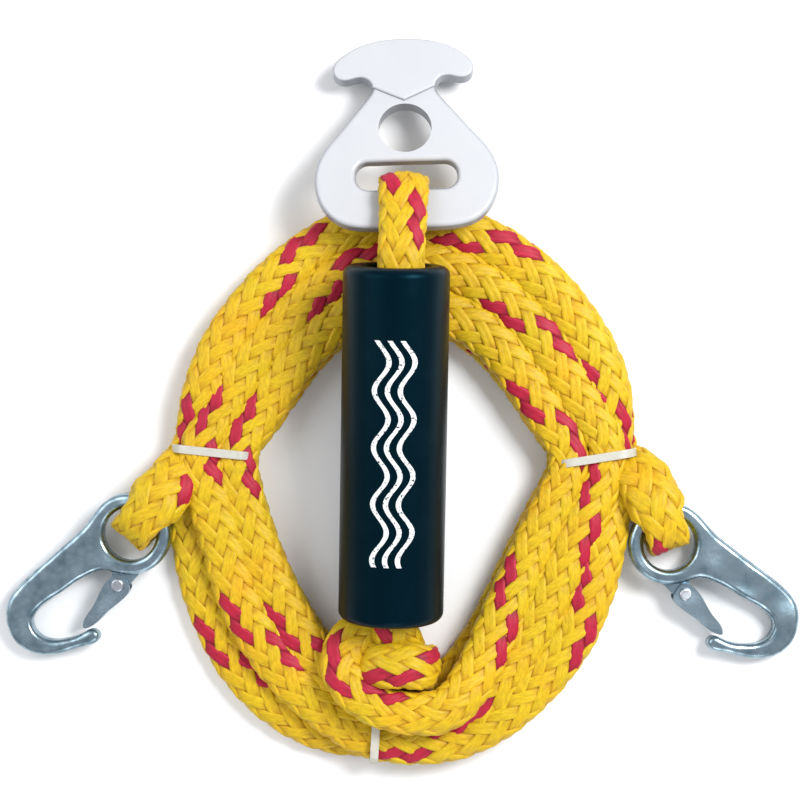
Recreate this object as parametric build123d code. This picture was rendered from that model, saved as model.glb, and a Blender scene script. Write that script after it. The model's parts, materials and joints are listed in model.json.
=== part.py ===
from build123d import *
import math
import os

# A boat tow harness, laid flat on its back and tied for storage.
# Frame: millimetres, +Z up from the surface it lies on, +Y toward the hitch, +X to the right.
# The origin is under the middle of the whole object, on that surface.

# ---------------------------------------------------------------- driving dimensions
ROPE_WIDTH = 22.0              # flattened hollow braid, across its flat
ROPE_THICKNESS = 9.2           # and through it
ROPE_EDGE_RADIUS = 4.2

COIL_HEIGHT = 21.0             # the tied hank, two to three ropes deep
COIL_EDGE_RADIUS = 8.5
# The hank's outer and inner edges seen from above, counterclockwise from the right-hand tie.
COIL_OUTER = [
    (118.4, -24.0), (110.0, 26.5), (83.0, 68.0), (46.0, 95.5), (0.0, 100.5), (-42.0, 93.0),
    (-77.0, 61.5), (-104.0, 16.5), (-113.6, -24.0), (-113.4, -66.0), (-101.0, -122.0),
    (-59.0, -165.0), (0.0, -181.9), (52.0, -169.0), (90.0, -134.0), (111.0, -78.0), (115.4, -52.0),
]
COIL_INNER = [
    (77.4, -30.0), (56.0, 5.0), (26.0, 34.5), (0.0, 41.5), (-27.0, 32.0), (-52.0, 7.0),
    (-72.6, -25.0), (-68.0, -58.0), (-47.0, -107.0), (-24.0, -138.0), (0.0, -144.0),
    (24.0, -135.0), (45.0, -94.0), (65.0, -51.0),
]

KNOT_SIZE = (47.0, 31.6, 33.0)
KNOT_ROUNDING = 13.0
KNOT_MIDDLE = (-5.4, -127.1, 16.6)

FLOAT_DIAMETER = 52.0
FLOAT_LENGTH = 175.0
FLOAT_BORE = 33.4
FLOAT_EDGE_RADIUS = 4.5
FLOAT_MOUTH_RADIUS = 1.5
FLOAT_TILT = 7.9               # degrees, its upper end lies up on the hank
FLOAT_LEAN = 1.0               # degrees, in plan
BIGHT_LEAN = 1.3               # degrees, the doubled rope in plan
BIGHT_ASIDE = -0.4             # its lower end, beside the float's axis
FLOAT_FOOT = (-4.6, -106.6, 25.95)   # middle of its lower end

BAR_MIDDLE = (3.8, 94.5, 35.0)       # middle of the bar that the rope goes round
HITCH_TILT = 18.8                    # degrees, the head rests on the surface
HITCH_TURN = 1.75                    # degrees, in plan
PLATE_THICKNESS = 8.0
HEAD_THICKNESS = 11.0
PLATE_EDGE_RADIUS = 2.4
HEAD_EDGE_RADIUS = 1.2
BAR_WIDTH = 20.5
SLOT_LENGTH = 50.0
SLOT_HEIGHT = 15.0
SLOT_CORNER = 6.5
EYE_RADIUS = 13.2
EYE_ABOVE_BAR = 42.9

STRAND_GAP = 0.8               # rope to bar, above and below
STRAND_LOOP_GAP = 1.3          # rope to bar, in the slot
STRAND_HIGH = 3.0              # each strand's middle above or below the float's axis
STRAND_LOW = -6.4
ROPE_INTO_KNOT = 7.0

HOOK_THICKNESS = 9.0
HOOK_EDGE_RADIUS = 2.6
RING_INNER_RADIUS = 13.3
RING_OUTER_RADIUS = 20.5
RING_HEIGHT = 11.6             # middle of the ring above the surface
HOOK_TILT = 5.0                # degrees, the bowl rests on the surface
GATE_PIVOT = (21.6, 15.2)      # along and across the hook, from the ring's middle
LUG_THICKNESS = 4.6
LUG_RADIUS = 4.6
SHEET = 1.2                    # the gate is folded from this
GATE_SIDE_GAP = 0.2
RIVET_RADIUS = 1.75
RIVET_FIT = 0.06
RIVET_HEAD_RADIUS = 3.2
RIVET_HEAD_HEIGHT = 1.2
SPRING_THICKNESS = 0.5
SPRING_WIDTH = 3.2

EYE_ROPE = 6.8                 # rope pulled flat where it goes round the ring
EYE_GAP = 0.4
EYE_SWEEP = 112.0              # degrees of the ring that the eye covers
LEFT_RING = (-134.9, -65.4)
RIGHT_RING = (134.6, -70.4)
LEFT_HEADING = 221.0           # degrees, the way each hook points
RIGHT_HEADING = -37.0

TIE_WIDTH = 4.2
TIE_THICKNESS = 1.3
TIE_HEAD = (6.4, 4.6, 4.2)
# For each tie: middle of the hank there, the way across the hank, and the hank's width.
TIES = {
    "left_cable_tie": ((-93.2, -24.6), -6.0, 40.9),
    "right_cable_tie": ((97.9, -27.6), 189.0, 40.2),
    "bottom_cable_tie": ((-12.0, -161.9), 86.5, 37.4),
}

ORIGIN_SHIFT = (-1.3, 0.0, 0.0)      # puts the origin under the middle of the whole

os.makedirs("parts", exist_ok=True)
nodes = {}
report = []


def keep(name, solid):
    """Moves a piece into the object's frame and files it under its node name."""
    nodes[name] = Pos(*ORIGIN_SHIFT) * solid


def flat_direction(degrees):
    """A unit vector in plan."""
    return Vector(math.cos(math.radians(degrees)), math.sin(math.radians(degrees)), 0)


def tilted(degrees, tilt):
    """The heading and the normal of a plate that points that way and tips down by the tilt."""
    plan = flat_direction(degrees)
    drop = math.radians(tilt)
    heading = plan * math.cos(drop) - Vector(0, 0, math.sin(drop))
    normal = plan * math.sin(drop) + Vector(0, 0, math.cos(drop))
    return heading, normal


def rounded(solid, edges, radius):
    """Fillets the edges, or leaves them sharp and says so."""
    try:
        return fillet(edges, radius)
    except Exception as problem:
        report.append(f"fillet of {radius} mm left out: {problem}")
        return solid


def face_edges(solid, plane_normal_axis):
    """The edges of the lowest and highest flat faces along an axis."""
    ends = solid.faces().filter_by(plane_normal_axis)
    return ends.sort_by(plane_normal_axis)[0].edges() + ends.sort_by(plane_normal_axis)[-1].edges()


# ---------------------------------------------------------------- frames of the moving pieces
float_up, float_side = tilted(90.0 - FLOAT_LEAN, -FLOAT_TILT)
float_plane = Plane(origin=FLOAT_FOOT, x_dir=float_side, z_dir=float_up)
hitch_ahead, hitch_normal = tilted(90.0 + HITCH_TURN, HITCH_TILT)
hitch_across = hitch_ahead.cross(hitch_normal)
hitch_plane = Plane(origin=BAR_MIDDLE, x_dir=hitch_across, z_dir=hitch_normal)


def hook_plane(ring, heading, face):
    """The hook's own frame: x along it from the ring's middle, y toward its gate."""
    ahead, normal = tilted(heading, HOOK_TILT)
    return Plane(origin=(ring[0], ring[1], RING_HEIGHT), x_dir=ahead, z_dir=normal * face)


left_hook_plane = hook_plane(LEFT_RING, LEFT_HEADING, 1)
right_hook_plane = hook_plane(RIGHT_RING, RIGHT_HEADING, -1)


# ---------------------------------------------------------------- the float
def make_float():
    """A foam cylinder with a bore that the doubled rope runs through."""
    body = Cylinder(FLOAT_DIAMETER / 2, FLOAT_LENGTH, align=(Align.CENTER, Align.CENTER, Align.MIN))
    bore = Cylinder(FLOAT_BORE / 2, FLOAT_LENGTH, align=(Align.CENTER, Align.CENTER, Align.MIN))
    body -= bore
    rims = body.edges().filter_by(GeomType.CIRCLE)
    outer = [e for e in rims if e.radius > FLOAT_DIAMETER / 2 - 1]
    body = rounded(body, outer, FLOAT_EDGE_RADIUS)
    rims = body.edges().filter_by(GeomType.CIRCLE)
    inner = [e for e in rims if e.radius < FLOAT_BORE / 2 + 0.1]
    body = rounded(body, inner, FLOAT_MOUTH_RADIUS)
    return float_plane.location * body


# ---------------------------------------------------------------- the hitch
# The right half of its edge, from the middle of the bar's lower edge up to the crown.
HITCH_HALF = [
    (0, -10.25), (12, -10.25), (23, -9.7), (33, -7.0), (41, 0.5), (45.0, 11), (45.0, 21), (40.5, 31.8),
    (33, 41.5), (24, 53), (17.8, 61), (15.8, 65.4), (17.6, 69.2), (22, 70.8), (28.8, 69.4), (33.8, 71.4),
    (35, 76), (30.5, 82.4), (22, 87.8), (11, 91), (0, 91.8),
]


def make_hitch():
    """A moulded plate: T-shaped head, narrow neck, round eye, slot and bar."""
    left_half = [(-x, y) for x, y in HITCH_HALF[-2:0:-1]]
    outline = make_face(Spline(*HITCH_HALF, *left_half, periodic=True))
    eye = Pos(0, EYE_ABOVE_BAR) * Circle(EYE_RADIUS)
    slot = Pos(0, (BAR_WIDTH + SLOT_HEIGHT) / 2) * RectangleRounded(SLOT_LENGTH, SLOT_HEIGHT, SLOT_CORNER)
    plate = Pos(0, 0, -PLATE_THICKNESS / 2) * extrude(outline - slot, PLATE_THICKNESS)
    plate = rounded(plate, face_edges(plate, Axis.Z), PLATE_EDGE_RADIUS)
    crotch = (0, EYE_ABOVE_BAR + EYE_RADIUS + 1.5)
    vee = make_face(Polyline(
        crotch, (16.5, 65.5), (60, 65.5), (60, 120), (-60, 120), (-60, 65.5), (-16.5, 65.5), crotch
    ))
    head = Pos(0, 0, -HEAD_THICKNESS / 2) * extrude(outline & vee, HEAD_THICKNESS)
    head = rounded(head, face_edges(head, Axis.Z), HEAD_EDGE_RADIUS)
    solid = plate + head
    solid -= extrude(eye, HEAD_THICKNESS, both=True)
    return hitch_plane.location * solid


# ---------------------------------------------------------------- the rope
def rope_section(path, across):
    """The rope's flat oval section at the start of a path, its width along the given way."""
    start = Plane(origin=path @ 0, x_dir=across, z_dir=path % 0)
    return start * RectangleRounded(ROPE_WIDTH, ROPE_THICKNESS, ROPE_EDGE_RADIUS)


def corner_radii(points):
    """The largest arc at each corner: 0.45 of the shorter run over the tangent of half the turn."""
    radii = []
    for before, here, after in zip(points, points[1:], points[2:]):
        run_in = Vector(*here) - Vector(*before)
        run_out = Vector(*after) - Vector(*here)
        turn = math.radians(run_in.get_angle(run_out))
        radii.append(0.45 * min(run_in.length, run_out.length) / math.tan(turn / 2))
    return radii


def rope_tube(name, points, across):
    """A flat rope along straight runs joined by the largest tangent arcs."""
    radii = corner_radii(points)
    path = FilletPolyline(*points, radius=radii)
    solid = sweep(rope_section(path, across), path=path)
    area = rope_section(path, across).area
    report.append(
        f"{name}: {path.length:.0f} mm, radii {[round(r, 1) for r in radii]}, "
        f"volume {solid.volume / (area * path.length):.4f} of section times length"
    )
    return solid


def in_plane(plane, x, y, z):
    """A point given in a piece's own frame."""
    return tuple(plane.from_local_coords(Vector(x, y, z)))


def bight_points():
    """Up through the float, over the bar, down the slot, back under the bar and down the float."""
    beside = PLATE_THICKNESS / 2 + ROPE_THICKNESS / 2 + STRAND_GAP
    beyond = BAR_WIDTH / 2 + ROPE_THICKNESS / 2 + STRAND_LOOP_GAP
    middle = Vector(*BAR_MIDDLE)
    plan = flat_direction(90.0 - BIGHT_LEAN)
    foot = Vector(*FLOAT_FOOT) + Vector(BIGHT_ASIDE, 0, 0)

    def upright(run, height):
        """A point over the float's plan line."""
        at = foot + plan * run
        return (at.X, at.Y, height)

    def in_float(along, stack):
        lean = math.radians(FLOAT_TILT)
        run = along * math.cos(lean) - stack * math.sin(lean)
        return upright(run, foot.Z + along * math.sin(lean) + stack * math.cos(lean))

    def at_bar(along, stack):
        drop = math.radians(HITCH_TILT)
        run = (middle.Y - foot.Y) + along * math.cos(drop) + stack * math.sin(drop)
        return upright(run, middle.Z - along * math.sin(drop) + stack * math.cos(drop))

    return [
        in_float(-ROPE_INTO_KNOT, STRAND_HIGH),
        in_float(FLOAT_LENGTH + 1, STRAND_HIGH),
        at_bar(-9, beside),
        at_bar(beyond, beside),
        at_bar(beyond, -beside),
        at_bar(-BAR_WIDTH / 2 - 1.5, -beside),
        in_float(FLOAT_LENGTH - 1, STRAND_LOW),
        in_float(-ROPE_INTO_KNOT, STRAND_LOW),
    ]


def make_coil():
    """The tied hank as one closed solid of its outer shape."""
    outer = make_face(Spline(*COIL_OUTER, periodic=True))
    inner = make_face(Spline(*COIL_INNER, periodic=True))
    ring = extrude(outer - inner, COIL_HEIGHT)
    return rounded(ring, face_edges(ring, Axis.Z), COIL_EDGE_RADIUS)


def make_knot():
    """The stopper knot below the float as one closed solid of its outer shape."""
    lump = Box(*KNOT_SIZE)
    lump = rounded(lump, lump.edges(), KNOT_ROUNDING)
    return Pos(*KNOT_MIDDLE) * lump


LEG_OVER_HANK = [
    (-16.0, -120.0, 26.4), (-27.5, -133.0, 26.4), (-22.0, -150.0, 26.4), (-5.0, -161.0, 26.4),
    (17.0, -163.5, 26.4), (38.0, -158.0, 26.4),
]
LEG_UNDER_KNOT = [(-8.0, -131.0, 5.2), (-26.0, -131.5, 5.2), (-42.0, -124.0, 5.2), (-54.0, -110.0, 5.2)]


def make_eye(plane, far_end, far_height):
    """The spliced eye: a sleeve of rope round the ring's wire, and the fat throat back to the hank."""
    middle_radius = (RING_INNER_RADIUS + RING_OUTER_RADIUS) / 2
    wire = RING_OUTER_RADIUS - RING_INNER_RADIUS
    inside = RectangleRounded(wire + 2 * EYE_GAP, HOOK_THICKNESS + 2 * EYE_GAP, HOOK_EDGE_RADIUS + EYE_GAP)
    outside = RectangleRounded(
        wire + 2 * (EYE_GAP + EYE_ROPE), HOOK_THICKNESS + 2 * (EYE_GAP + EYE_ROPE), 9.0
    )
    section = Plane.XZ * Pos(-middle_radius, 0) * (outside - inside)
    sleeve = revolve(section, Axis.Z, EYE_SWEEP)
    sleeve = Rot(0, 0, -EYE_SWEEP / 2) * sleeve
    sleeve = plane.location * sleeve
    near = plane.from_local_coords(Vector(-RING_OUTER_RADIUS - 1.0, 0, 0))
    far = Vector(far_end[0], far_end[1], far_height)
    way = (far - near).normalized()
    level = Vector(-way.Y, way.X, 0).normalized()
    first = Plane(origin=near, x_dir=level, z_dir=way) * Ellipse(12.5, 9.6)
    last = Plane(origin=far, x_dir=level, z_dir=way) * Ellipse(10.5, 5.4)
    throat = loft([first, last])
    clear = Cylinder(RING_OUTER_RADIUS + EYE_GAP, HOOK_THICKNESS + 2 * EYE_GAP)
    throat -= plane.location * clear
    return sleeve + throat


# ---------------------------------------------------------------- the snap hooks
def hook_outline():
    """Ring, shank, bowl and nose of the hook as one smooth edge, in its own frame."""
    ring = [
        (RING_OUTER_RADIUS * math.cos(math.radians(a)), RING_OUTER_RADIUS * math.sin(math.radians(a)))
        for a in range(48, 285, 21)
    ]
    back = [(14, -18.2), (24, -17.6), (42, -17.5), (58, -17.4), (70.5, -14.2)]
    bowl = [(78, -5.5), (80, 5), (75.2, 15.6), (65.5, 22.6), (55, 27.2)]
    nose = [(49.5, 29.6), (46.6, 29.2), (45.0, 26.6), (46.2, 23.6), (49.5, 22.2)]
    inside = [(54.5, 21), (61, 17.6), (66.8, 12.4), (68.8, 6), (66.6, 0.4), (60, -2.0), (48, -1), (36, 0.2)]
    root = [(28, 2.0), (22.5, 4.6), (18.6, 9.6)]
    return make_face(Spline(*ring, *back, *bowl, *nose, *inside, *root, periodic=True))


def make_hook():
    """A forged hook: ring, shank, open bowl and nose, with a thin lug for the gate's rivet."""
    flat = hook_outline() - Circle(RING_INNER_RADIUS)
    body = Pos(0, 0, -HOOK_THICKNESS / 2) * extrude(flat, HOOK_THICKNESS)
    body = rounded(body, face_edges(body, Axis.Z), HOOK_EDGE_RADIUS)
    px, py = GATE_PIVOT
    web = make_face(Polyline(
        (6, 17.5), (px + 1.2, py + LUG_RADIUS - 0.1), (px + 2.2, py - LUG_RADIUS + 0.4), (14.5, 6.5), (6, 17.5)
    ))
    lug_flat = web + Pos(px, py) * Circle(LUG_RADIUS) - Circle(RING_INNER_RADIUS + 2)
    lug = extrude(lug_flat, LUG_THICKNESS / 2, both=True)
    body += lug
    body -= Pos(*GATE_PIVOT) * Cylinder(RIVET_RADIUS, 40)
    return body


def make_gate():
    """The gate: two cheeks beside the lug, joined by a folded back, drawn in to a blunt tip."""
    across = LUG_THICKNESS / 2 + GATE_SIDE_GAP + SHEET
    px, py = GATE_PIVOT
    outline = make_face(Spline(
        (px - 4.9, py - 0.6), (px - 3.2, py - 4.2), (px + 1.6, py - 5.2), (px + 8, py - 3.6),
        (px + 19, py + 0.6), (px + 26.4, py + 3.2), (px + 27.6, py + 5.0), (px + 25.6, py + 6.4),
        (px + 14, py + 6.7), (px + 3, py + 7.0), (px - 3.6, py + 5.2), periodic=True,
    ))
    body = extrude(outline, across, both=True)
    hollow_flat = make_face(Polyline(
        (px - 9, py - 9), (px + 17, py - 9), (px + 17, py + 3.2), (px + 8, py + 5.0), (px - 2, py + 5.6),
        (px - 9, py + 5.6), (px - 9, py - 9),
    ))
    body -= extrude(hollow_flat, LUG_THICKNESS / 2 + GATE_SIDE_GAP, both=True)
    tip_trim = Pos(px + 28, py + 4) * Box(12, 12, 20)
    taper = Pos(px + 28, py + 4) * Box(12, 12, 2 * across - 2.4)
    body -= tip_trim - taper
    body -= Pos(px, py) * Cylinder(RIVET_RADIUS + RIVET_FIT, 40)
    return body


def make_rivet():
    """The gate's rivet with a formed head on each side."""
    half = LUG_THICKNESS / 2 + GATE_SIDE_GAP + SHEET + 0.15
    shank = Cylinder(RIVET_RADIUS, 2 * half)
    head = Cylinder(RIVET_HEAD_RADIUS, RIVET_HEAD_HEIGHT, align=(Align.CENTER, Align.CENTER, Align.MIN))
    head = rounded(head, head.faces().sort_by(Axis.Z)[-1].edges(), RIVET_HEAD_HEIGHT * 0.8)
    top = Pos(0, 0, half) * head
    bottom = Rot(180, 0, 0) * top
    return Pos(*GATE_PIVOT) * (shank + top + bottom)


def make_spring():
    """A bent leaf between the lug and the gate's folded back, which holds the gate shut."""
    px, py = GATE_PIVOT
    line = Spline(
        (px - 2.5, py + LUG_RADIUS + 0.35), (px + 3.2, py + 4.7), (px + 8.0, py + 3.9), (px + 14.5, py + 2.4)
    )
    section = Plane(origin=line @ 0, x_dir=(0, 0, 1), z_dir=line % 0) * Rectangle(
        SPRING_WIDTH, SPRING_THICKNESS
    )
    leaf = sweep(section, path=line)
    return leaf


def make_snap_hook():
    """The four pieces of one snap hook, in its own frame."""
    return {
        "hook": make_hook(),
        "gate": make_gate(),
        "gate_rivet": make_rivet(),
        "gate_spring": make_spring(),
    }


# ---------------------------------------------------------------- the cable ties
def make_tie(middle, across, width):
    """A nylon tie pulled into the hank: a flat strap all round and its head low on the inner side."""
    outside = RectangleRounded(width + TIE_THICKNESS, COIL_HEIGHT + 0.6, COIL_EDGE_RADIUS + 0.6)
    inside = RectangleRounded(
        width - TIE_THICKNESS, COIL_HEIGHT + 0.6 - 2 * TIE_THICKNESS, COIL_EDGE_RADIUS - 0.7
    )
    strap = extrude(outside - inside, TIE_WIDTH / 2, both=True)
    strap = rounded(strap, face_edges(strap, Axis.Z), 0.3)
    head = Box(*TIE_HEAD)
    head = rounded(head, head.edges(), 0.7)
    corner = COIL_EDGE_RADIUS * 0.62
    head = Pos(-width / 2 + corner * 0.55, -COIL_HEIGHT / 2 + corner * 0.72, 0) * Rot(0, 0, 48) * head
    way = flat_direction(across)
    plane = Plane(
        origin=(middle[0], middle[1], (COIL_HEIGHT + 0.6) / 2), x_dir=way, z_dir=way.cross(Vector(0, 0, 1))
    )
    return plane.location * (strap + head)


# ---------------------------------------------------------------- everything in its place
keep("float", make_float())
keep("tow_hitch", make_hitch())
keep("rope_coil", make_coil())
keep("stopper_knot", make_knot())
keep("rope_bight", rope_tube("rope_bight", bight_points(), flat_direction(-BIGHT_LEAN)))
keep("rope_leg_over", rope_tube("rope_leg_over", LEG_OVER_HANK, Vector(1, 1, 0)))
keep("rope_leg_under", rope_tube("rope_leg_under", LEG_UNDER_KNOT, Vector(0, 1, 0)))
keep("left_eye_splice", make_eye(left_hook_plane, (-104.0, -33.0), 13.0))
keep("right_eye_splice", make_eye(right_hook_plane, (105.5, -38.0), 13.0))
snap_hook = make_snap_hook()
for side, plane in (("left", left_hook_plane), ("right", right_hook_plane)):
    for piece_name, piece in snap_hook.items():
        keep(f"{side}_{piece_name}", plane.location * piece)
for tie_name, (tie_middle, tie_across, tie_width) in TIES.items():
    keep(tie_name, make_tie(tie_middle, tie_across, tie_width))

boxes = [solid.bounding_box() for solid in nodes.values()]
lowest = [round(min(getattr(box.min, axis) for box in boxes), 2) for axis in "XYZ"]
highest = [round(max(getattr(box.max, axis) for box in boxes), 2) for axis in "XYZ"]
report.append(f"whole: {lowest} to {highest}")
for name, solid in nodes.items():
    export_step(solid, f"parts/{name}.step")
for line in report:
    print(line)
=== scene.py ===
"""A boat tow harness, coiled and tied: braided rope, float, tow hitch, snap hooks and cable ties.

Metres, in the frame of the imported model: +Z up from the surface it lies on, +Y toward the hitch.
"""

import json
import logging
import math
import random
from collections.abc import Callable
from dataclasses import dataclass, field
from enum import Enum

import bpy
import numpy as np
from mathutils import Euler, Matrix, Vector

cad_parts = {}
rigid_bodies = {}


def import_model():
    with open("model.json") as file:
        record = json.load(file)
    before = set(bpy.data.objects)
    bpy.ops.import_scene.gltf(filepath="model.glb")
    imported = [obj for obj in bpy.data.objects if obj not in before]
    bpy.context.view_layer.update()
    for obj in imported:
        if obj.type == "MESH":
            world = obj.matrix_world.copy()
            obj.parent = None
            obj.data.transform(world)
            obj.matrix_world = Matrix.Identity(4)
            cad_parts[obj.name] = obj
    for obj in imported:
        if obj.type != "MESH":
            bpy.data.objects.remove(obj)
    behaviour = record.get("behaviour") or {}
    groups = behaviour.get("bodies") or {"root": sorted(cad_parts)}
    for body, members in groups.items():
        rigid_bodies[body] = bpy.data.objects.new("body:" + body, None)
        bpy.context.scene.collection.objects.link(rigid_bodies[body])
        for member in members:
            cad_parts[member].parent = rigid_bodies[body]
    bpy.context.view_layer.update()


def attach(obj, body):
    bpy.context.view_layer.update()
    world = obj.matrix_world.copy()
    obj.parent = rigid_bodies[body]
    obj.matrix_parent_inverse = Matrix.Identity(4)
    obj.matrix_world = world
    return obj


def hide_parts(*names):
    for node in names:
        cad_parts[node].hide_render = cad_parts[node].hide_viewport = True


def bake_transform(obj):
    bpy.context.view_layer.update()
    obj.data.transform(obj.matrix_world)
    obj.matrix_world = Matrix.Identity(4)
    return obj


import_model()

logging.basicConfig(level=logging.INFO, format="%(message)s")
log = logging.getLogger("tow_harness")

MM = 0.001
ORIGIN_SHIFT = Vector((-0.0013, 0.0, 0.0))
SECTION_SAMPLES = 721
SECTION_SLOPE_STEP = 0.004
LABEL_SPACING = 220
ROW_SPACING = 352


def mm(x: float, y: float, z: float) -> Vector:
    """A point of the design, given in millimetres before the origin's shift, in metres."""
    return Vector((x, y, z)) * MM + ORIGIN_SHIFT


def smoothstep(value: np.ndarray) -> np.ndarray:
    """A soft step from 0 to 1 over the same span."""
    inside = np.clip(value, 0.0, 1.0)
    return inside * inside * (3.0 - 2.0 * inside)


def plan_direction(degrees: float) -> Vector:
    """A unit vector in plan."""
    return Vector((math.cos(math.radians(degrees)), math.sin(math.radians(degrees)), 0.0))


def read_line(curve: bpy.types.Curve) -> np.ndarray:
    """Reads the points of a curve's line and clears the curve away.

    Args:
        curve: The curve, with its control points set.

    Returns:
        The points, in order.
    """
    carrier = bpy.data.objects.new(curve.name, curve)
    mesh = bpy.data.meshes.new_from_object(carrier)
    points = np.array([v.co for v in mesh.vertices], float)
    bpy.data.objects.remove(carrier)
    bpy.data.curves.remove(curve)
    bpy.data.meshes.remove(mesh)
    return points


# ---------------------------------------------------------------------------- materials


@dataclass(frozen=True)
class BraidFinish:
    """Colours and feel of one colour of the rope's polypropylene yarn: its lit tops and a painted shade
    colour for its valleys.
    """

    name: str
    lit_crown: tuple[float, float, float]
    # Painted shade: the yarn's colour where it dives under the next yarns and at its sides.
    valley_shade: tuple[float, float, float]
    roughness: float = 0.46
    fibre_depth: float = 0.00022


YELLOW_YARN = BraidFinish("yellow_yarn", (0.74, 0.475, 0.009), (0.50, 0.245, 0.005))
CRIMSON_YARN = BraidFinish("crimson_yarn", (0.49, 0.014, 0.046), (0.17, 0.005, 0.015), 0.5)
# Painted shadow: dark brown for the filler tube inside the hollow braid, seen in the gaps between the
# yarns.
PAINTED_SHADOW_TUBE = BraidFinish("painted_shadow_tube", (0.36, 0.12, 0.006), (0.2, 0.06, 0.004), 0.8)


def lay_out(rows: list[tuple[bpy.types.Node, list[bpy.types.Node]]]) -> None:
    """Sets where the nodes of each frame stand, one frame under another.

    Args:
        rows: Each frame with its nodes, from left to right.
    """
    for row, (box, members) in enumerate(rows, start=1):
        for step, node in enumerate(members):
            node.location = ((step - len(members)) * LABEL_SPACING, -row * ROW_SPACING)
            node.parent = box


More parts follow.
